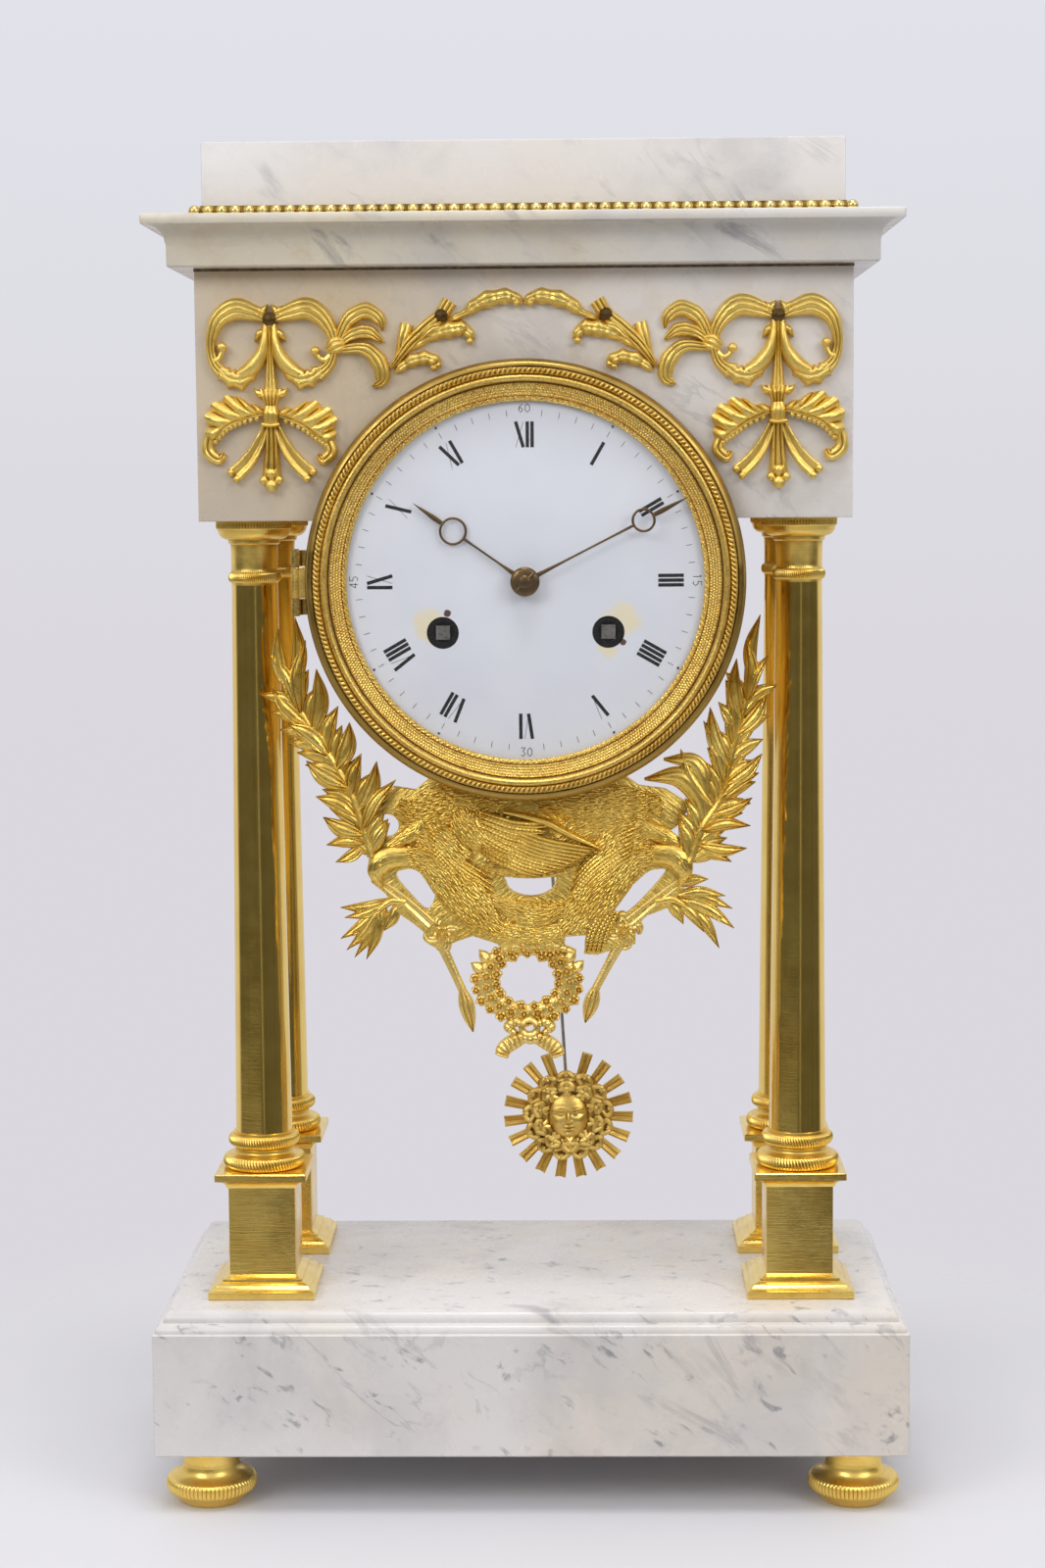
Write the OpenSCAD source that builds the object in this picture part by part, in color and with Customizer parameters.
// Portico mantel clock: marble and gilt bronze, with a spring-driven movement in a drum.
// Millimetres. Origin: centre of the footprint on the floor; +Z is up and the front is -Y.

/* [Base] */
// Width of the marble base
base_w = 252; // [248:1:262]
// Depth of the marble base
base_d = 128; // [126:0.5:132]
// Height of the plain lower slab
slab_h = 41.8; // [34:0.2:50]
// Height of the moulded step
step_h = 7; // [6:0.2:9]
// How far the step stands in from the slab
step_inset = 6.4; // [6:0.2:7]
// Height of the turned feet
foot_h = 20; // [16:0.5:26]
// Largest radius of a foot
foot_r = 15.4; // [13:0.2:16]

/* [Columns] */
// Width of the square plinth under a column
plinth_w = 36; // [35:0.2:37]
// Marble left showing outside a plinth
plinth_margin = 10.5; // [10:0.2:11.5]
// Height of the square pedestal
pedestal_h = 42.7; // [38:0.2:50]
// Width of the pedestal die
die_w = 22.6; // [21:0.2:26]
// Height of the turned column base
column_base_h = 12.4; // [11:0.2:15]
// Height of the plain shaft
shaft_h = 186; // [182:1:196]
// Radius of the shaft at its foot
shaft_r = 9.6; // [9:0.1:10]
// Radius of the shaft under the capital
neck_r = 7.75; // [7:0.1:8.4]
// Height of the capital with its ring
capital_h = 21.4; // [20:0.2:24]

/* [Entablature] */
// Marble of the frieze beyond a column axis
frieze_over = 16.4; // [16:0.2:17]
// Height of the frieze block
frieze_h = 82.2; // [80:0.2:88]
// Height of the cornice
cornice_h = 16.6; // [14:0.2:20]
// How far the cornice nose stands out from the frieze
nose_out = 15.2; // [13:0.2:15.6]
// Height of the attic block
attic_h = 24.3; // [18:0.1:32]
// How far the attic stands in from the frieze
attic_inset = 2.6; // [2:0.2:4]
// Pitch of the beads round the attic
bead_pitch = 4.4; // [4.3:0.1:5]

/* [Dial] */
// Drop of the dial centre below the frieze block
dial_drop = 20.1; // [18:0.1:21]
// Outer radius of the bezel
bezel_r = 72.4; // [71.8:0.1:73]
// Radius of the drum
drum_r = 62; // [61.6:0.1:62.4]
// Spread of the winding squares from the centre line
wind_x = 27.2; // [26.9:0.1:27.5]
// Drop of the winding squares below the dial centre
wind_drop = 16.8; // [16.5:0.1:17]
// Length of the minute hand
minute_len = 60; // [54:0.5:60.5]
// Length of the hour hand
hour_len = 44.5; // [40:0.5:46]

/* [Pendulum] */
// Height of the pendulum pivot above the dial centre
pivot_rise = 25.3; // [25.1:0.1:25.5]
// Length from the pivot to the bob centre
bob_drop = 217.4; // [210:0.5:224]
// Radius to the ray tips of the bob
bob_r = 23; // [20:0.5:25]
// Lean of the resting pendulum toward +X, in degrees
lean = 3.4; // [0:0.1:4]

/* [Hidden] */
$fn = 48;
gilt = [0.85, 0.66, 0.22];
marble = [0.9, 0.89, 0.86];
steel = [0.5, 0.5, 0.52];
brass = [0.8, 0.65, 0.3];
step_w = base_w - 2 * step_inset;
step_d = base_d - 2 * step_inset;
column_x = step_w / 2 - plinth_margin - plinth_w / 2;
column_y = step_d / 2 - plinth_margin - plinth_w / 2;
foot_x = base_w / 2 - 17;
foot_y = base_d / 2 - 17;
base_top = foot_h + slab_h + step_h;
column_base_z = base_top + pedestal_h;
shaft_z = column_base_z + column_base_h;
capital_z = shaft_z + shaft_h;
frieze_z = capital_z + capital_h;
frieze_w = 2 * (column_x + frieze_over);
frieze_d = 2 * (column_y + frieze_over);
cornice_z = frieze_z + frieze_h;
attic_z = cornice_z + cornice_h;
attic_w = frieze_w - 2 * attic_inset;
attic_d = frieze_d - 2 * attic_inset;
dial_z = frieze_z - dial_drop;
yf = -frieze_d / 2;
ridge = drum_r - 62;
rim_r = bezel_r + ridge;
dial_r = drum_r - 1.7;
bell_k = (drum_r - 4.8) / 57.2;
tie_r = 3;
swing_y = yf + 57.5;
hinge_x = rim_r + 2.8;
hinge_y = yf - 2.65;
cover_x = 69.5 + ridge;
cover_y = -yf + 2.1;
scroll_x = frieze_w / 2 - 24.7;
trim_k = scroll_x / 82.8 * (1 - max(0, ridge) / 60);
sprig_z = frieze_z + 0.4 * max(0, ridge);
screw_ring = drum_r + 4;

great_m = 0.5;
second_m = 0.46;
centre_m = 0.36;
third_m = 0.33;
count_m = 0.38;
pin_m = 0.3;
centre_at = [0, 0];
going_at = [wind_x, -wind_drop];
strike_at = [-wind_x, -wind_drop];
escape_at = [0, pivot_rise - 10.5];
anchor_at = [0, pivot_rise];
second_at = meet(centre_at, 34 * second_m, going_at, 42 * great_m, -1);
count_at = meet(centre_at, 34 * second_m, strike_at, 42 * great_m, -1);
third_at = meet(centre_at, 39.5 * centre_m, escape_at, 39.5 * third_m, -1);
pin_at = count_at + 40 * count_m * [cos(85), sin(85)];
fly_at = pin_at + 38.5 * pin_m * [cos(165), sin(165)];
minute_at = 12 * [cos(60), sin(60)];
hammer_at = [-31, 8];
bell_at = bell_k * [-16, -22];
pillars_at = [[28, 35], [-28, 35], [10, -43.5], [-10, -43.5]];
plate_screws_at = [[0, 52], [-45, -26], [45, -26]];
dial_feet_at = [[0, 45], [-32, -33], [32, -33]];
drum_screw_angles = [35, 70, 110, 145];

// A depth behind the front face of the frieze, as a Y value.
function y(d) = yf + d;

// Points on an arc.
function arc(cx, cy, r, a0, a1, n) =
    [for (i = [0:n]) let (a = a0 + (a1 - a0) * i / n) [cx + r * cos(a), cy + r * sin(a)]];

// A smooth closed line through the points p, with n steps between two of them.
function smooth(p, n) = [for (i = [0:len(p) - 1], k = [0:n - 1])
    let (a = p[(i + len(p) - 1) % len(p)], b = p[i], c = p[(i + 1) % len(p)],
        d = p[(i + 2) % len(p)], t = k / n)
    0.5 * (2 * b + (c - a) * t + (2 * a - 5 * b + 4 * c - d) * t * t
        + (3 * b - a - 3 * c + d) * t * t * t)];

// Outline of a leaf from its foot b to its tip t, w wide on each side.
function leaf(b, t, w) = let (v = t - b, s = [-v[1], v[0]] / norm(v),
    h = [for (i = [0:5]) w * (0.25 * (1 - i / 6) + sin(180 * pow(i / 6, 0.9)))])
    concat([for (i = [0:5]) b + v * i / 6 + s * h[i]], [t],
        [for (i = [5:-1:0]) b + v * i / 6 - s * h[i]]);

// The point rp from p and rq from q, on the chosen side of the line between them.
function meet(p, rp, q, rq, side) = let (d = norm(q - p), a = (rp * rp - rq * rq + d * d) / (2 * d),
    h = sqrt(rp * rp - a * a), u = (q - p) / d) p + a * u + side * h * [-u[1], u[0]];

// Outline of a toothed wheel or of a pinion.
function teeth(n, m, phase, big) = let (r = n * m / 2, ra = r + (big ? 0.85 : 0.75) * m,
    rf = r - (big ? 1.1 : 1.2) * m, p = 360 / n, tt = (big ? 0.11 : 0.09) * p, tr = (big ? 0.24 : 0.17) * p)
    [for (i = [0:n - 1], c = [[rf, -tr], [ra, -tt], [ra, tt], [rf, tr]])
        let (a = phase + p * i + c[1]) [c[0] * cos(a), c[0] * sin(a)]];

// Outline of a wheel with slanted teeth.
function saw(n, rf, ra, slant) = [for (i = [0:n - 1], c = [[rf, 0], [ra, slant]])
    let (a = 360 * i / n + c[1]) [c[0] * cos(a), c[0] * sin(a)]];

// Phase of a pinion of b_n leaves at b, so that it meshes with a wheel of a_n teeth at a.
function in_mesh(a, a_n, b, b_n) = let (th = atan2(b[1] - a[1], b[0] - a[0]))
    th + 180 - (0.5 - th * a_n / 360) * 360 / b_n;

// Extrudes a drawing in X and Z from y0 to y1.
module slab(y0, y1) {
    translate([0, y1, 0]) rotate([90, 0, 0]) linear_extrude(y1 - y0) children();
}

// A round bar along Y at the point p.
module bar(p, r, y0, y1) {
    translate([p[0], y1, p[1]]) rotate([90, 0, 0]) cylinder(r = r, h = y1 - y0);
}

// A turned piece on a Y axis from radius and Y pairs.
module turned(profile) {
    rotate([-90, 0, 0]) rotate_extrude() polygon(profile);
}

// A rectangular block with the same moulding on four sides, from inset and Z pairs.
module moulded(w, d, profile) {
    n = len(profile) - 1;
    intersection() {
        translate([0, d / 2 + 1, 0]) rotate([90, 0, 0]) linear_extrude(d + 2)
            polygon(concat([for (p = profile) [w / 2 - p[0], p[1]]],
                [for (i = [n:-1:0]) [profile[i][0] - w / 2, profile[i][1]]]));
        translate([-w / 2 - 1, 0, 0]) rotate([90, 0, 90]) linear_extrude(w + 2)
            polygon(concat([for (p = profile) [d / 2 - p[0], p[1]]],
                [for (i = [n:-1:0]) [profile[i][0] - d / 2, profile[i][1]]]));
    }
}

// Copies at the four column axes.
module at_columns() {
    for (sx = [-1, 1], sy = [-1, 1]) translate([sx * column_x, sy * column_y, 0]) children();
}

// A tapered bar between two points of a flat drawing.
module limb(a, b, wa, wb) {
    s = [a[1] - b[1], b[0] - a[0]] / norm(b - a);
    polygon([a + s * wa, b + s * wb, b - s * wb, a - s * wa]);
    translate(a) circle(wa, $fn = 14);
    translate(b) circle(wb, $fn = 14);
}

// A toothed wheel with four round openings.
module gear(at, n, m, phase, y0, y1, opening = 0.24) {
    r = n * m / 2;
    translate([at[0], 0, at[1]]) slab(y0, y1) difference() {
        polygon(teeth(n, m, phase, true));
        for (a = [45:90:315]) translate((0.2 + 1.6 * opening) * r * [cos(a), sin(a)]) circle(opening * r);
    }
}

// A pinion of n leaves.
module pinion(at, n, m, phase, y0, y1) {
    translate([at[0], 0, at[1]]) slab(y0, y1) polygon(teeth(n, m, phase, false));
}

// An arbor with its two pivots in the plates.
module arbor(at, r) {
    bar(at, r, y(9.2), y(43.3));
    bar(at, 0.5, y(7), y(45.5));
}

module base_slab() {
    color(marble) difference() {
        translate([0, 0, foot_h]) moulded(base_w, base_d, concat(
            [[0, 0], [0, slab_h]],
            [for (i = [0:6]) [0.8 + 2.6 * (1 - cos(15 * i)), slab_h + 0.2 + 0.43 * step_h * sin(15 * i)]],
            [for (i = [1:6]) [step_inset - (step_inset - 3.4) * cos(15 * i),
                slab_h + step_h - 0.52 * step_h * (1 - sin(15 * i))]]));
        at_columns() translate([0, 0, foot_h - 1]) cylinder(r = tie_r + 0.2, h = slab_h + step_h + 2);
        at_columns() translate([0, 0, foot_h - 1]) cylinder(r = 8, h = 11);
        for (sx = [-1, 1], sy = [-1, 1]) translate([sx * foot_x, sy * foot_y, foot_h - 1])
            cylinder(r = 2.55, h = 15);
    }
}

module feet() {
    h = foot_h / 20;
    color(gilt) for (sx = [-1, 1], sy = [-1, 1]) translate([sx * foot_x, sy * foot_y, 0]) rotate_extrude()
        polygon(concat([[0, 0], [foot_r - 5.2, 0], [foot_r - 4.4, 0.8 * h], [foot_r - 3.6, 2.8 * h],
            [foot_r - 2.4, 5.4 * h], [foot_r - 1.6, 6.4 * h]],
            [for (i = [0:8]) [foot_r - 1.6 + 1.6 * sin(22.5 * i), (9.2 - 2.4 * cos(22.5 * i)) * h]],
            [[foot_r - 2.6, 12.4 * h], [foot_r - 4.6, 13.6 * h], [foot_r - 5.4, 15 * h],
            [foot_r - 5.6, 16.6 * h], [foot_r - 5.0, 18 * h], [foot_r - 4.4, 20 * h],
            [2.5, 20 * h], [2.5, foot_h + 12], [0, foot_h + 12]]));
}

module pedestals() {
    d = (plinth_w - die_w) / 2;
    color(gilt) at_columns() translate([0, 0, base_top]) difference() {
        moulded(plinth_w, plinth_w, [[0, 0], [0, 2.6], [0.5, 2.9], [1.2, 3.1], [2.2, 4.4], [4.4, 5.3],
            [4.4, 6.1], [d - 0.6, 6.9], [d, 7.2], [d, pedestal_h - 5.6], [d - 0.5, pedestal_h - 5.4],
            [d - 0.7, pedestal_h - 4.6], [d - 2, pedestal_h - 3.2], [d - 3.6, pedestal_h - 2.6],
            [d - 4.2, pedestal_h - 2.4], [d - 4.2, pedestal_h]]);
        translate([0, 0, -1]) cylinder(r = tie_r + 0.2, h = pedestal_h + 2);
    }
}

module column_bases() {
    k = column_base_h / 12.4;
    color(gilt) at_columns() translate([0, 0, column_base_z]) rotate_extrude() polygon(concat(
        [[tie_r + 0.2, 0], [12.6, 0]],
        [for (i = [1:7]) [12.4 + 1.6 * sin(22.5 * i), (2.2 - 2.2 * cos(22.5 * i)) * k]],
        [[11.4, 4.5 * k], [10.2, 5.2 * k], [9.8, 6.1 * k], [10.0, 7 * k], [10.8, 7.6 * k]],
        [for (i = [1:7]) [10.8 + 1.35 * sin(22.5 * i), (9.5 - 1.9 * cos(22.5 * i)) * k]],
        [[10.3, 11.6 * k], [10.3, 12.4 * k], [tie_r + 0.2, 12.4 * k]]));
}

module column_shafts() {
    color(gilt) at_columns() translate([0, 0, shaft_z]) difference() {
        cylinder(r1 = shaft_r, r2 = neck_r, h = shaft_h);
        translate([0, 0, -1]) cylinder(r = tie_r + 0.2, h = shaft_h + 2);
    }
}

module column_capitals() {
    k = capital_h / 21.4;
    color(gilt) at_columns() translate([0, 0, capital_z]) rotate_extrude() polygon(concat(
        [[tie_r + 0.2, 0], [neck_r, 0]],
        [for (i = [0:8]) [neck_r + 0.1 + 1.6 * sin(22.5 * i), (3.2 - 2.4 * cos(22.5 * i)) * k]],
        [[neck_r, 6.2 * k], [neck_r + 0.1, 13.4 * k], [neck_r + 0.9, 14 * k], [neck_r + 0.9, 15 * k]],
        [for (i = [0:5]) [neck_r + 1 + 3.4 * sin(18 * i), (18.6 - 3.4 * cos(18 * i)) * k]],
        [[neck_r + 4.9, 18.7 * k], [neck_r + 4.9, 21.4 * k], [tie_r + 0.2, 21.4 * k]]));
}

module tie_rods() {
    color(steel) at_columns() translate([0, 0, foot_h + 2]) cylinder(r = tie_r, h = cornice_z - foot_h - 3);
}

module tie_rod_nuts() {
    color(steel) at_columns() for (z = [foot_h + 5, cornice_z - 6]) translate([0, 0, z]) difference() {
        cylinder(r = 5.5, h = 5, $fn = 6);
        translate([0, 0, -1]) cylinder(r = tie_r + 0.02, h = 7);
    }
}

module frieze_block() {
    color(marble) difference() {
        translate([-frieze_w / 2, yf, frieze_z]) cube([frieze_w, frieze_d, frieze_h]);
        bar([0, dial_z], drum_r + 0.3, yf - 1, -yf + 1);
        at_columns() translate([0, 0, frieze_z - 1]) cylinder(r = tie_r + 0.2, h = frieze_h + 2);
        at_columns() translate([0, 0, cornice_z - 6]) cylinder(r = 7, h = 7);
        for (a = drum_screw_angles)
            bar([screw_ring * cos(a), dial_z + screw_ring * sin(a)], 1.45, yf - 1, y(12));
        for (p = trim_points()) bar(p, 1.25, yf - 1, y(8));
    }
}

// Places of the round-headed screws on the frieze.
function trim_points() = [[-scroll_x, frieze_z + 65.6], [scroll_x, frieze_z + 65.6],
    [-26.8 * trim_k, sprig_z + 66.4], [26.8 * trim_k, sprig_z + 66.4]];

module cornice() {
    k = cornice_h / 16.6;
    color(marble) translate([0, 0, cornice_z]) moulded(frieze_w + 2 * nose_out, frieze_d + 2 * nose_out, concat(
        [[nose_out - 7.9, 0], [nose_out - 7.9, 7 * k], [nose_out - 8.5, 7.4 * k], [nose_out - 8.5, 8.2 * k]],
        [for (i = [1:6]) [(nose_out - 8.5) * cos(15 * i) + 0.4, (13.6 - 5.4 * (1 - sin(15 * i))) * k]],
        [[0, 13.2 * k], [0, 16 * k], [0.6, 16.6 * k]]));
}

module attic_block() {
    color(marble) translate([-attic_w / 2, -attic_d / 2, attic_z]) cube([attic_w, attic_d, attic_h]);
}

module bead_moulding() {
    nx = round(attic_w / bead_pitch);
    ny = round(attic_d / bead_pitch);
    color(gilt) translate([0, 0, attic_z]) {
        linear_extrude(1.2) difference() {
            square([attic_w + 4.2, attic_d + 4.2], center = true);
            square([attic_w + 0.1, attic_d + 0.1], center = true);
        }
        linear_extrude(3.8) offset(delta = 0.01) difference() {
            union() {
                for (i = [0:nx], s = [-1, 1])
                    translate([(i / nx - 0.5) * (attic_w + 4.2), s * (attic_d / 2 + 2.1)]) circle(2, $fn = 8);
                for (i = [1:ny - 1], s = [-1, 1])
                    translate([s * (attic_w / 2 + 2.1), (i / ny - 0.5) * (attic_d + 4.2)]) circle(2, $fn = 8);
            }
            square([attic_w + 0.1, attic_d + 0.1], center = true);
        }
    }
}

// One scroll mount about its stem, with the husk branch toward +X.
module scroll_mount() {
    slab(yf - 3, yf) difference() {
        scale([trim_k, 1]) offset(delta = 0.01) {
            for (c = [[-11.4, 57.7], [13, 57.5]]) translate(c) difference() {
                circle(9.7, $fn = 28);
                circle(6.3, $fn = 28);
            }
            for (c = [[-13.2, 56.6], [15, 56.5]]) translate(c) circle(2.6, $fn = 14);
            limb([-13.2, 56.6], [-17.5, 53.5], 1.5, 1.6);
            limb([15, 56.5], [19.5, 53.5], 1.5, 1.6);
            polygon(leaf([0, 64], [-13.5, 72], 4));
            polygon(leaf([0, 64], [14.5, 71.5], 4));
            limb([0, 66], [0, 43], 2.6, 2);
            limb([22, 55.6], [27, 57], 2.2, 2);
            polygon(leaf([26, 57], [37.6, 64.5], 3.6));
            polygon(leaf([26, 57], [37.6, 56], 2.6));
            polygon(leaf([26, 57], [37.6, 46.5], 3.6));
            limb([-4, 41.5], [4, 41.5], 2.3, 2.3);
            limb([0, 41], [0, 32], 3.4, 3.2);
            for (s = [-1, 1]) {
                polygon(leaf([s * 2, 36], [s * 21.5, 31], 6));
                limb([s * 19.5, 31], [s * 17.4, 21.4], 2.6, 1.8);
                limb([s * 1.5, 32], [s * 6.5, 22], 1.5, 1.8);
                limb([s * 6.5, 22], [s * 12, 15], 1.8, 1.9);
            }
            limb([-0.5, 32], [-0.8, 12.6], 1.6, 2.6);
        }
        translate([0, 65.6]) circle(1.25);
    }
    slab(yf - 4.6, yf - 2.9) scale([trim_k, 1]) offset(delta = 0.01) {
        for (s = [-1, 1]) polygon(leaf([s * 3, 35.5], [s * 17, 32], 2.6));
        limb([0, 39], [0, 34], 2.2, 2);
        polygon(leaf([3, 66.6], [13, 70.5], 1.8));
        polygon(leaf([-3, 66.6], [-12, 70.8], 1.8));
    }
}

module scroll_mount_left() {
    color(gilt) translate([-scroll_x, 0, frieze_z]) scroll_mount();
}

module scroll_mount_right() {
    color(gilt) translate([scroll_x, 0, frieze_z]) mirror([1, 0, 0]) scroll_mount();
}

// One leaf sprig, on the left of the centre line.
module leaf_sprig() {
    slab(yf - 2.4, yf) difference() {
        scale([trim_k, 1]) offset(delta = 0.01) {
            polygon(leaf([-27, 67], [-2.8, 72], 3.2));
            polygon(leaf([-27, 67], [-43, 48.8], 3.4));
            polygon(leaf([-28, 66], [-38.6, 62.6], 2.6));
            polygon(leaf([-33, 60], [-15.8, 58.2], 3));
            polygon(leaf([-35.5, 56.5], [-27, 50.2], 2.6));
            polygon(leaf([-27, 66.6], [-24.2, 71.4], 2));
            translate([-26.8, 66.4]) circle(3, $fn = 14);
        }
        translate([-26.8 * trim_k, 66.4]) circle(1.25);
    }
}

module leaf_sprig_left() {
    color(gilt) translate([0, 0, sprig_z]) leaf_sprig();
}

module leaf_sprig_right() {
    color(gilt) translate([0, 0, sprig_z]) mirror([1, 0, 0]) leaf_sprig();
}

module trim_screws() {
    color(gilt) {
        for (p = trim_points()) {
            d = abs(p[0]) > 40 ? 3 : 2.4;
            bar(p, 1.2, yf - d - 0.1, y(7));
            translate([p[0], yf - d, p[1]]) turned([[0, -1.5], [1.2, -1.3], [1.9, -0.7], [2.2, 0], [0, 0]]);
        }
        for (s = [-1, 1]) translate([0, y(6), dial_z]) rotate([0, s * 15, 0])
            translate([0, 0, -drum_r - 3.5]) cylinder(r = 1.1, h = 7.5);
    }
}

// Outline of the plate of the dove mount, against the drum bottom.
function dove_plate() = [[-52.6, 221.5], [-53.4, 217], [-52.4, 210.5], [-47.5, 206.5], [-44.9, 201],
    [-38.5, 196.5], [-34.3, 193], [-33.5, 189.5], [-29.8, 187.6], [-24, 190.4], [-18.6, 192.2],
    [-10.5, 189.5], [-8, 186.6], [8, 186.6], [12.2, 188.2], [12.4, 191.8], [19.3, 192.3], [18.6, 186],
    [23, 185.6], [29, 187.6], [35.9, 189.3], [36, 193.5], [38.8, 198.5], [47.2, 201.6], [51.6, 207],
    [54.7, 214.4], [55.4, 219.6], [58.4, 226], [57.4, 233], [53.4, 237], [46, 241.5], [37.3, 242.7],
    [30, 248], [24, 262], [-24, 262], [-31, 247], [-37.2, 241.6], [-44.7, 242.8], [-50.2, 237.5],
    [-51.8, 231], [-51.8, 226]];

// The whole flat drawing of the dove mount.
module dove_drawing() {
    difference() {
        offset(delta = 0.01) {
            difference() {
                polygon(dove_plate());
                translate([-46.8, 229.7]) circle(3.8, $fn = 24);
                polygon(smooth([[53.4, 233.8], [56.5, 231], [56, 225], [53, 221.9], [46.6, 226.6],
                    [49.5, 228.6]], 3));
                polygon(smooth([[-44.2, 213.1], [-39.4, 215.1], [-36.3, 214.4], [-31.1, 208.2],
                    [-33.4, 201.3], [-38.6, 205.6]], 3));
                polygon(smooth([[29.7, 203], [38.9, 212.7], [43.3, 214.5], [45.9, 213.4], [36.7, 202.9],
                    [30.8, 198.8]], 3));
                polygon([[-7.3, 211.6], [9.1, 211.5], [9, 208.4], [3.8, 205.6], [-2.8, 205.8], [-6, 208.1]]);
            }
            limb([-29.5, 191], [-20.5, 164], 2.4, 1.9);
            polygon(leaf([-20.5, 167], [-19.2, 159.2], 2));
            limb([32, 190.5], [21, 166], 2.2, 1.7);
            polygon(leaf([21.2, 169], [19, 162.4], 2));
            for (i = [0:17]) translate([14 * cos(20 * i) - 0.4, 176.6 + 11.2 * sin(20 * i)])
                circle(i > 1 && i < 8 ? 3.6 : 4.7, $fn = 12);
            limb([-19, 168], [-14, 170], 2, 3);
            limb([20, 169], [14, 170], 2, 3);
            polygon([[-6, 163], [-4.8, 158.5], [-4, 156.4], [5.4, 156.4], [5.8, 157.8], [7.4, 162]]);
            limb([-2, 156.8], [-6.5, 154.6], 2.2, 2.4);
            limb([-6.5, 154.6], [-9, 150.8], 2.4, 2.2);
            limb([2.6, 156.8], [7, 155], 2.2, 2.4);
            limb([7, 155], [8.6, 150.8], 2.4, 2.2);
            polygon(leaf([-47, 205], [-62, 200.6], 2.4));
            polygon(leaf([-48, 205], [-54.3, 184.4], 3.2));
            polygon(leaf([-46, 204], [-48.6, 194], 2.4));
            polygon(leaf([48, 204], [51.6, 195.8], 2.2));
            polygon(leaf([49, 204], [58.2, 192.7], 2.6));
            polygon(leaf([50, 205], [68.3, 200], 2.8));
            polygon(leaf([51, 207], [66.4, 208.4], 2.4));
            polygon(leaf([27, 192], [20, 183], 2.4));
        }
        translate([0.2, 161.2]) circle(1.5, $fn = 20);
        translate([0, 311.2 + ridge]) circle(drum_r + 0.05, $fn = 180);
    }
}

module dove_mount() {
    color(gilt) difference() {
        translate([0, 0, dial_z - 311.2 - ridge]) {
            slab(y(3.5), y(8.5)) dove_drawing();
            slab(y(1.2), y(3.6)) offset(delta = 0.01) {
                polygon(smooth([[-50, 219], [-49, 212], [-42, 217.5], [-34, 216], [-24, 203], [-15, 196],
                    [-9, 200], [-14, 215], [-26, 231], [-36, 238], [-45, 224.5]], 3));
                polygon(smooth([[51, 219], [49, 213], [42, 217.5], [34, 214], [24, 204], [16, 196],
                    [10, 201], [13, 214], [22, 227], [33, 237], [44, 230]], 3));
            }
        }
        for (s = [-1, 1]) translate([0, y(6), dial_z]) rotate([0, s * 15, 0])
            translate([0, 0, -drum_r - 3.5]) cylinder(r = 1.1, h = 9);
    }
}

module laurel_left() {
    color(gilt) translate([0, 0, dial_z - 311.2 - ridge]) slab(y(0.3), y(3.5)) offset(delta = 0.01) {
        limb([-52.2, 219.5], [-53.4, 224], 1.4, 1.3);
        limb([-53.4, 224], [-58.2, 239.7], 1.3, 1.2);
        limb([-58.2, 239.7], [-64.4, 251.5], 1.2, 1.1);
        limb([-64.4, 251.5], [-71.4, 262], 1.1, 1);
        limb([-71.4, 262], [-79, 276], 1, 0.9);
        polygon(leaf([-54.5, 223.5], [-64.1, 217.7], 2.4));
        polygon(leaf([-54.5, 224], [-67, 223.6], 2.4));
        polygon(leaf([-55, 227], [-68, 233], 3));
        polygon(leaf([-57, 233], [-70.4, 239.8], 3));
        polygon(leaf([-60, 243], [-73.4, 251.8], 3.2));
        polygon(leaf([-66, 254], [-79.4, 264.4], 3.2));
        polygon(leaf([-72, 263], [-84.4, 276], 3));
        polygon(leaf([-77, 271], [-84.6, 287], 2.6));
        polygon(leaf([-55, 229], [-43.6, 245.4], 2.6));
        polygon(leaf([-56.4, 234], [-50, 251.5], 3));
        polygon(leaf([-58.5, 240], [-55.2, 253.6], 2.8));
        polygon(leaf([-63, 249], [-58.8, 264.6], 3));
        polygon(leaf([-67, 255], [-62.6, 270], 2.8));
        polygon(leaf([-71, 261], [-69.6, 282.4], 3));
        polygon(leaf([-75, 268], [-73, 292], 2.8));
        polygon(leaf([-78, 274], [-76.4, 299.4], 2.6));
        polygon(leaf([-79, 275], [-82, 296], 2.4));
    }
}

module laurel_right() {
    color(gilt) translate([0, 0, dial_z - 311.2 - ridge]) slab(y(0.3), y(3.5)) offset(delta = 0.01) {
        limb([53.8, 217], [55.2, 220], 1.4, 1.3);
        limb([55.2, 220], [58.4, 229.2], 1.3, 1.2);
        limb([58.4, 229.2], [64.5, 239], 1.2, 1.1);
        limb([64.5, 239], [68.8, 255.5], 1.1, 1);
        limb([68.8, 255.5], [75, 280], 1, 0.9);
        polygon(leaf([56, 220.5], [67.9, 217.2], 2.4));
        polygon(leaf([57, 223], [73, 221.8], 2.6));
        polygon(leaf([58, 228], [74.2, 229.4], 2.6));
        polygon(leaf([61, 233], [74.8, 238.6], 2.6));
        polygon(leaf([64.5, 239], [77, 247], 2.4));
        polygon(leaf([66, 243], [78, 253.4], 2.4));
        polygon(leaf([58.5, 229], [39.4, 244], 3.2));
        polygon(leaf([60.5, 232], [45, 251.6], 3));
        polygon(leaf([62, 235.5], [51, 255], 3));
        polygon(leaf([65.5, 244], [58.6, 264.4], 3));
        polygon(leaf([67, 249], [60.8, 269], 2.8));
        polygon(leaf([69, 256], [66, 278], 2.8));
        polygon(leaf([71, 264], [69.6, 285], 2.6));
        polygon(leaf([73, 271], [72.8, 291.4], 2.4));
        polygon(leaf([74.5, 277], [77.4, 299.4], 2.2));
        polygon(leaf([70, 260], [79.4, 273], 2.2));
        polygon(leaf([73, 271], [80, 286], 2));
    }
}

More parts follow.
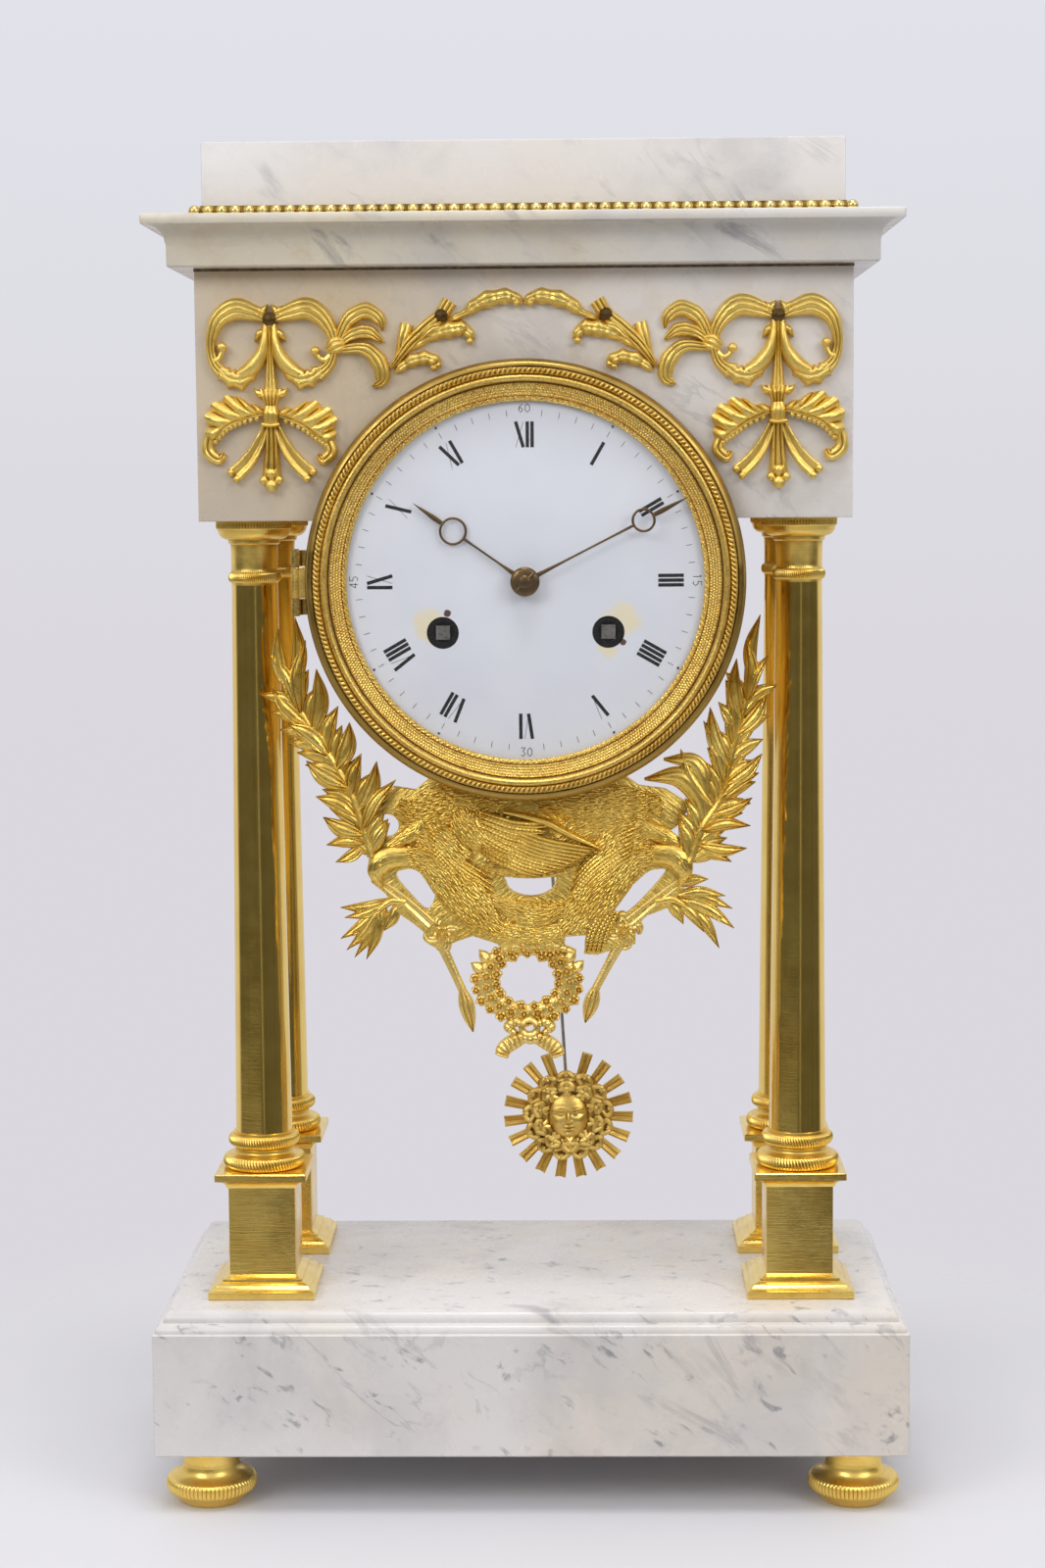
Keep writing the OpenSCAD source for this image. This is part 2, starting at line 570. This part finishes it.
module drum_case() {
    ri = drum_r - 1.5;
    color(brass) translate([0, 0, dial_z]) difference() {
        union() {
            turned([[ri, yf - 2.6], [rim_r - 2.9, yf - 2.6], [rim_r - 2.9, yf], [drum_r, yf],
                [drum_r, -yf], [drum_r + 6, -yf], [drum_r + 6, -yf + 2], [ri, -yf + 2], [ri, y(11)], [50, y(11)],
                [50, y(9)], [ri, y(9)]]);
            for (s = [-1, 1]) {
                translate([-hinge_x, hinge_y, s * 8 - 2.6]) cylinder(r = 1.9, h = 5.2);
                translate([-hinge_x, yf - 2.2, s * 8 - 2.6]) cube([hinge_x - rim_r + 5, 2, 5.2]);
                translate([cover_x + 1.5, cover_y, s * 8 - 2.6]) cylinder(r = 1.9, h = 5.2);
                translate([cover_x - 5, -yf + 0.2, s * 8 - 2.6]) cube([6.5, 1.7, 5.2]);
            }
        }
        translate([-hinge_x, hinge_y, -12]) cylinder(r = 0.9, h = 24);
        translate([cover_x + 1.5, cover_y, -12]) cylinder(r = 0.9, h = 24);
        translate([-11, swing_y - 3.5, -drum_r - 4]) cube([22, 7, 18]);
        for (a = drum_screw_angles) bar(screw_ring * [cos(a), sin(a)], 1.45, yf - 4, y(1));
        for (p = plate_screws_at) bar(p, 1.2, y(8), y(12));
        for (s = [-1, 1]) translate([0, y(6), 0]) rotate([0, s * 15, 0])
            translate([0, 0, -drum_r - 3]) cylinder(r = 1.1, h = 8);
    }
}

module drum_screws() {
    color(steel) for (a = drum_screw_angles) translate([0, 0, dial_z])
        bar(screw_ring * [cos(a), sin(a)], 1.4, yf - 2.6, y(11.5));
}

// Height of the dial front above the frieze face, at the radius r.
function dome(r) = -5.3 + 3.2 * pow(r / dial_r, 2);

module dial() {
    n = 8;
    color([0.95, 0.95, 0.94]) translate([0, 0, dial_z]) difference() {
        union() {
            turned(concat([for (i = [0:n]) let (r = 3.4 + (dial_r - 3.4) * i / n) [r, yf + dome(r)]],
                [for (i = [n:-1:0]) let (r = 3.4 + (dial_r - 3.4) * i / n) [r, yf + dome(r) + 1.5]]));
            for (p = dial_feet_at) bar(p, 1.2, y(-3.2), y(7));
        }
        bar(going_at, 5.3, yf - 9, y(3));
        bar(strike_at, 5.3, yf - 9, y(3));
    }
}

module dial_ring() {
    color(gilt) translate([0, 0, dial_z]) turned([for (p = [[-1.6, 3.6], [-1.4, 4.4], [-0.7, 5.1],
        [0.1, 4.6], [0.3, 4.9], [2.1, 5.3], [3.7, 6.1], [4.2, 6], [4.3, 5.4], [4.3, 2.6], [0.3, 2.6],
        [0.1, 2.9]]) [dial_r + p[0], yf - p[1]]]);
}

// The pivot holes that the two plates share.
module pivot_holes(y0, y1) {
    for (p = [second_at, count_at, third_at, escape_at, pin_at, fly_at, hammer_at, anchor_at])
        bar(p, 0.55, y0, y1);
    for (p = [going_at, strike_at]) bar(p, 3.35, y0, y1);
    for (p = pillars_at) bar(p, 1.3, y0, y1);
}

module front_plate() {
    color(brass) translate([0, 0, dial_z]) difference() {
        bar([0, 0], 54, y(7), y(9));
        pivot_holes(y(6), y(10));
        bar(centre_at, 1.3, y(6), y(10));
        bar(minute_at, 1, y(6), y(10));
        for (p = plate_screws_at) bar(p, 1.2, y(6), y(10));
        for (s = [-1, 1]) bar(click_at(s), 0.8, y(6), y(10));
    }
}

module back_plate() {
    color(brass) translate([0, 0, dial_z]) difference() {
        bar([0, 0], 49.5, y(43.5), y(45.5));
        pivot_holes(y(43), y(46));
        bar(centre_at, 0.55, y(43), y(46));
        bar(anchor_at, 2, y(43), y(46));
        bar(count_at, 1.05, y(43), y(46));
        bar(hammer_at, 1.05, y(43), y(46));
        bar(bell_at, 2, y(43), y(46));
        for (s = [-1, 1]) bar([s * 4.5, pivot_rise + 14.6], 1, y(43), y(46));
    }
}

module plate_pillars() {
    color(brass) translate([0, 0, dial_z]) for (p = pillars_at) {
        bar(p, 3, y(9), y(43.5));
        bar(p, 1.3, y(6.4), y(46.4));
    }
}

module movement_screws() {
    color(steel) translate([0, 0, dial_z]) for (p = plate_screws_at) {
        bar(p, 2, y(5.6), y(7));
        bar(p, 1.2, y(6.9), y(11));
    }
}

module suspension_cock() {
    color(brass) translate([0, 0, dial_z + pivot_rise]) {
        difference() {
            union() {
                translate([-7, y(45.5), 8]) cube([14, 3, 12]);
                translate([-4, y(45.5), 8]) cube([8, 13.8, 4.6]);
                translate([-4, y(53.5), -3.4]) cube([8, 2, 12]);
                translate([-3.5, y(55.4), 0.3]) cube([7, 3.9, 9]);
            }
            bar([0, 0], 0.55, y(53), y(56));
        }
        for (s = [-1, 1]) bar([s * 4.5, 14.6], 1, y(43.5), y(46));
    }
}

module bell_post() {
    color(steel) translate([0, 0, dial_z]) {
        bar(bell_at, 1.98, y(43.5), y(45.6));
        bar(bell_at, 3.2, y(45.5), y(82));
        bar(bell_at, 1.6, y(81.9), y(88.5));
    }
}

module bell() {
    color([0.75, 0.68, 0.45]) translate([bell_at[0], 0, dial_z + bell_at[1]]) turned(concat(
        [[1.65, y(82)], [8, y(82)]],
        [for (i = [1:8]) let (a = 10 * i) [bell_k * (8 + 20.6 * sin(a)), y(61.6 + 20.4 * cos(a))]],
        [[bell_k * 29.4, y(62.2)], [bell_k * 30, y(62.2)]],
        [for (i = [7:-1:0]) let (a = 10 * i) [bell_k * (8 + 21.8 * sin(a)), y(62 + 21.6 * cos(a))]],
        [[1.65, y(83.6)]]));
}

module bezel_hinge_pin() {
    color(brass) translate([-hinge_x, hinge_y, dial_z - 11]) cylinder(r = 0.9, h = 22);
}

module cover_hinge_pin() {
    color(brass) translate([cover_x + 1.5, cover_y, dial_z - 11]) cylinder(r = 0.9, h = 22);
}

module bezel() {
    b = rim_r;
    seat = drum_r + 4;
    color(gilt) translate([0, 0, dial_z]) difference() {
        union() {
            turned(concat([[seat, yf - 2.7], [b - 0.4, yf - 2.7], [b, yf - 3.1], [b, yf - 4.6]],
                [for (i = [1:5]) [b - 2.1 + 2.1 * cos(15 * i), yf - 4.6 - 2.6 * sin(15 * i)]],
                [for (i = [0:6]) [b - 4 + 1.9 * cos(30 * i), yf - 7.6 - 2.2 * sin(30 * i)]],
                [[b - 6.5, yf - 7.6], [b - 7, yf - 7.4], [seat - 1.1, yf - 7], [seat - 1.1, yf - 6.8], [seat, yf - 6.8]]));
            translate([-hinge_x, hinge_y, -5.1]) cylinder(r = 1.9, h = 10.2);
            translate([-hinge_x, yf - 5.2, -5.1]) cube([5, 2.4, 10.2]);
        }
        translate([-hinge_x, hinge_y, -12]) cylinder(r = 0.95, h = 24);
    }
}

module glass() {
    color([0.8, 0.85, 0.85, 0.3]) translate([0, 0, dial_z]) turned(concat(
        [for (i = [0:8]) [(drum_r + 2.4) * i / 8, yf - 16.6 + 9.85 * i * i / 64]],
        [[drum_r + 3.95, yf - 6.75], [drum_r + 3.95, yf - 6.2]],
        [for (i = [8:-1:0]) [(drum_r + 2.4) * i / 8, yf - 15.2 + 9 * i * i / 64]]));
}

module back_cover() {
    color(brass) translate([0, 0, dial_z]) difference() {
        union() {
            turned([[0, -yf + 9.4], [drum_r - 22, -yf + 8.6], [drum_r - 6, -yf + 6.6], [drum_r - 1, -yf + 3.6],
                [drum_r - 1, -yf + 2.2], [drum_r + 4.4, -yf + 2.2], [drum_r + 4.4, -yf + 3.8],
                [drum_r + 0.6, -yf + 4.8], [drum_r - 5, -yf + 8.2], [drum_r - 22, -yf + 10.2], [0, -yf + 11]]);
            bar([6 - drum_r, 0], 3, -yf + 7, -yf + 13);
            translate([cover_x + 1.5, cover_y, -5.1]) cylinder(r = 1.9, h = 10.2);
            translate([cover_x - 6.5, -yf + 2.2, -5.1]) cube([8, 1.5, 10.2]);
        }
        translate([cover_x + 1.5, cover_y, -12]) cylinder(r = 0.95, h = 24);
    }
}

// One hand, drawn upward: ring, blade and tip.
module hand_drawing(len, ring_at, ring_r, hub_r, hub_hole) {
    difference() {
        offset(delta = 0.01) {
            circle(hub_r);
            polygon([[-1.3, 0], [-0.75, ring_at - ring_r + 0.4], [0.75, ring_at - ring_r + 0.4], [1.3, 0]]);
            translate([0, ring_at]) difference() {
                circle(ring_r);
                translate([0, 0.35]) circle(ring_r - 1.15);
            }
            polygon([[-1.4, ring_at + ring_r - 0.5], [-0.9, ring_at + ring_r + 3], [-0.16, len],
                [0.16, len], [0.9, ring_at + ring_r + 3], [1.4, ring_at + ring_r - 0.5]]);
        }
        circle(hub_hole);
    }
}

module minute_hand() {
    color(gilt) translate([0, y(-8.2), dial_z]) rotate([0, 63.1, 0]) rotate([-2.2, 0, 0])
        slab(-0.7, 0) hand_drawing(min(minute_len, dial_r - 0.3), 43.5, 3.65, 4, 2.1);
}

module hour_hand() {
    color(gilt) translate([0, y(-6.5), dial_z]) rotate([0, -54.9, 0]) rotate([-2.2, 0, 0])
        slab(-0.7, 0) hand_drawing(hour_len, 28.7, 4.3, 4.6, 3.1);
}

module cannon_pinion() {
    color(brass) translate([0, 0, dial_z]) difference() {
        union() {
            bar(centre_at, 2, y(-9.6), y(6.9));
            pinion(centre_at, 12, 0.5, 0, y(4.4), y(6.6));
            bar(centre_at, 2.9, y(-8), y(-7.4));
        }
        bar(centre_at, 1.3, y(-11), y(8));
    }
}

module hand_nut() {
    color(gilt) translate([0, 0, dial_z]) difference() {
        union() {
            bar(centre_at, 4.8, y(-10.4), y(-9.15));
            bar(centre_at, 2.2, y(-12.2), y(-10.3));
        }
        bar(centre_at, 2, y(-9.6), y(-8));
        bar(centre_at, 1.3, y(-11.4), y(-8));
    }
}

module hour_wheel() {
    phase = in_mesh(minute_at, 10, centre_at, 40);
    color(brass) translate([0, 0, dial_z]) difference() {
        union() {
            gear(centre_at, 40, 0.48, phase, y(1.2), y(3));
            bar(centre_at, 3, y(-7.3), y(4));
            bar(centre_at, 3.9, y(-6.3), y(-5.6));
        }
        bar(centre_at, 2.1, y(-8), y(5));
    }
}

module minute_wheel() {
    color(brass) translate([0, 0, dial_z]) {
        gear(minute_at, 36, 0.5, in_mesh(centre_at, 12, minute_at, 36), y(4.6), y(6.2));
        pinion(minute_at, 10, 0.48, 0, y(0.8), y(4.7));
        bar(minute_at, 0.95, y(0.8), y(9));
    }
}

// A winding arbor with its square and ratchet.
module winding_arbor(at) {
    color(steel) translate([0, 0, dial_z]) {
        translate([at[0] - 2.3, y(-2.6), at[1] - 2.3]) cube([4.6, 6, 4.6]);
        bar(at, 3.3, y(3), y(45.5));
        translate([at[0], 0, at[1]]) slab(y(4), y(6)) polygon(saw(24, 6.5, 7.5, 12));
    }
}

// A spring barrel with its great wheel.
module barrel(at, phase) {
    color(brass) translate([0, 0, dial_z]) difference() {
        union() {
            bar(at, 16.5, y(12.5), y(31.5));
            gear(at, 72, great_m, phase, y(29.5), y(31.5));
        }
        bar(at, 15.3, y(14), y(30));
        bar(at, 3.35, y(12), y(32));
    }
}

module going_arbor() {
    winding_arbor(going_at);
}

module strike_arbor() {
    winding_arbor(strike_at);
}

module going_barrel() {
    barrel(going_at, 0);
}

module strike_barrel() {
    barrel(strike_at, 0);
}

module second_wheel() {
    color(brass) translate([0, 0, dial_z]) {
        pinion(second_at, 12, great_m, in_mesh(going_at, 72, second_at, 12), y(28.5), y(32.5));
        gear(second_at, 60, second_m, 0, y(35.5), y(36.7));
        arbor(second_at, 0.9);
    }
}

module centre_wheel() {
    color(brass) translate([0, 0, dial_z]) {
        pinion(centre_at, 8, second_m, in_mesh(second_at, 60, centre_at, 8), y(34.5), y(37.5));
        gear(centre_at, 72, centre_m, 0, y(14.5), y(15.7));
        bar(centre_at, 1.25, y(-11.2), y(43.3));
        bar(centre_at, 0.5, y(43), y(45.5));
    }
}

module third_wheel() {
    color(brass) translate([0, 0, dial_z]) {
        pinion(third_at, 7, centre_m, in_mesh(centre_at, 72, third_at, 7), y(13.5), y(16.7));
        gear(third_at, 72, third_m, 0, y(21.5), y(22.5));
        arbor(third_at, 0.7);
    }
}

module escape_wheel() {
    color(brass) translate([0, 0, dial_z]) {
        pinion(escape_at, 7, third_m, in_mesh(third_at, 72, escape_at, 7), y(20.5), y(23.5));
        translate([escape_at[0], 0, escape_at[1]]) slab(y(26.5), y(27.5)) difference() {
            polygon(saw(36, 6.8, 8, 6));
            for (a = [45:90:315]) translate(4 * [cos(a), sin(a)]) circle(1.7);
        }
        arbor(escape_at, 0.7);
    }
}

module anchor() {
    color(steel) translate([0, 0, dial_z + pivot_rise]) rotate([0, -lean, 0]) {
        slab(y(26), y(28)) for (s = [-1, 1]) polygon([[s * -1.6, 0], [s * -1.2, 1.6], [s * 6, -0.6],
            [s * 7.8, -3.2], [s * 7.4, -5], [s * 6.4, -4], [s * 5.4, -2.3], [s * 1.5, -1.6]]);
        bar([0, 0], 0.8, y(9.2), y(53.3));
        bar([0, 0], 0.5, y(7), y(55.5));
        bar([0, 0], 2, y(50.5), y(52));
        slab(y(50.5), y(52)) polygon([[-1.2, 0], [-0.9, -36], [-2, -36], [-2, -39], [2, -39], [2, -36],
            [0.9, -36], [1.2, 0]]);
        for (s = [-1, 1]) bar([s * 1.35, -37.5], 0.6, y(50.6), y(59.6));
    }
}

// Places a piece of the pendulum, drawn downward from the pivot, at its resting lean.
module hung() {
    translate([0, swing_y, dial_z + pivot_rise]) rotate([0, -lean, 0]) children();
}

module pendulum_rod() {
    color(steel) hung() {
        translate([-2.4, -0.9, -14]) cube([4.8, 1.8, 2.4]);
        translate([0, 0, -bob_drop + 8]) cylinder(r = 0.6, h = bob_drop - 21);
    }
}

module pendulum_bob() {
    color(gilt) hung() translate([0, 0, -bob_drop]) {
        difference() {
            turned([[0, -4.6], [4, -4.2], [8, -3.2], [11.4, -1.4], [14.2, -0.6], [14.6, 0.6], [13.6, 1.4], [0, 1.4]]);
            translate([0, 0, 7.9]) cylinder(r = 0.65, h = 10);
        }
        slab(-1, 1) difference() {
            for (a = [12:19:354]) if (abs(a - 88) > 5) rotate(a) polygon([[10, -1.5], [bob_r - 0.3, -1.9],
                [bob_r - 1.6, 0], [bob_r, 1.9], [10, 1.5]]);
            circle(9);
        }
    }
}

module suspension_thread() {
    color([0.9, 0.88, 0.8]) hung() for (s = [-1, 1]) translate([s * 1.5, 0, -11.6]) cylinder(r = 0.35, h = 11.6);
}

module count_wheel() {
    color(brass) translate([0, 0, dial_z]) {
        pinion(count_at, 12, great_m, in_mesh(strike_at, 72, count_at, 12), y(28.5), y(32.5));
        gear(count_at, 72, count_m, 0, y(38), y(39.2));
        bar(count_at, 0.5, y(7), y(10));
        bar(count_at, 1, y(9.2), y(49.4));
        translate([count_at[0], 0, count_at[1]]) slab(y(47.5), y(49)) difference() {
            circle(16);
            for (i = [1:12]) rotate(4 * i * (i + 1) / 1.7) translate([15, 0]) square([3, 1.2], center = true);
        }
    }
}

module pin_wheel() {
    color(brass) translate([0, 0, dial_z]) {
        pinion(pin_at, 8, count_m, in_mesh(count_at, 72, pin_at, 8), y(37), y(40.2));
        gear(pin_at, 70, pin_m, 0, y(18.5), y(19.7), 0.16);
        for (a = [0:36:324]) bar(pin_at + 8 * [cos(a + 9), sin(a + 9)], 0.4, y(19.5), y(22));
        arbor(pin_at, 0.8);
    }
}

module fly() {
    color(brass) translate([0, 0, dial_z]) {
        pinion(fly_at, 7, pin_m, in_mesh(pin_at, 70, fly_at, 7), y(17.5), y(20.7));
        translate([fly_at[0] - 8, y(25), fly_at[1] - 0.9]) cube([16, 12, 1.8]);
        arbor(fly_at, 0.6);
    }
}

module hammer() {
    h = hammer_at;
    head = bell_at + (30 * bell_k + 4.6) * [cos(135), sin(135)];
    color(steel) translate([0, 0, dial_z]) {
        slab(y(20), y(21.6)) limb(h, h + 8.8 * [cos(26), sin(26)], 1.8, 0.7);
        bar(h, 0.8, y(9.2), y(43));
        bar(h, 0.5, y(7), y(10));
        bar(h, 1, y(43), y(53.6));
        slab(y(51.5), y(53.5)) limb(h, head, 1.8, 1.8);
        bar(head, 3.5, y(53), y(68));
    }
}

// Pivot of a winding click, on the right for side 1 and on the left for side -1.
function click_at(side) = [side * wind_x + 11.5 * cos(90 - 30 * side), -wind_drop + 11.5 * sin(60)];

module click(side) {
    at = [side * wind_x, -wind_drop];
    tip = at + 8.6 * [cos(90 - 70 * side), sin(20)];
    color(steel) translate([0, 0, dial_z]) {
        slab(y(4.2), y(5.8)) limb(click_at(side), tip, 1.6, 0.6);
        bar(click_at(side), 0.75, y(4.2), y(9));
    }
}

module going_click() {
    click(1);
}

module strike_click() {
    click(-1);
}

base_slab();
feet();
pedestals();
column_bases();
column_shafts();
column_capitals();
tie_rods();
tie_rod_nuts();
frieze_block();
cornice();
attic_block();
bead_moulding();
scroll_mount_left();
scroll_mount_right();
leaf_sprig_left();
leaf_sprig_right();
trim_screws();
dove_mount();
laurel_left();
laurel_right();
drum_case();
drum_screws();
dial();
dial_ring();
front_plate();
back_plate();
plate_pillars();
movement_screws();
suspension_cock();
bell_post();
bell();
bezel_hinge_pin();
cover_hinge_pin();
bezel();
glass();
back_cover();
minute_hand();
cannon_pinion();
hand_nut();
hour_hand();
hour_wheel();
minute_wheel();
going_arbor();
going_barrel();
second_wheel();
centre_wheel();
third_wheel();
escape_wheel();
anchor();
pendulum_rod();
pendulum_bob();
suspension_thread();
strike_arbor();
strike_barrel();
count_wheel();
pin_wheel();
fly();
hammer();
going_click();
strike_click();
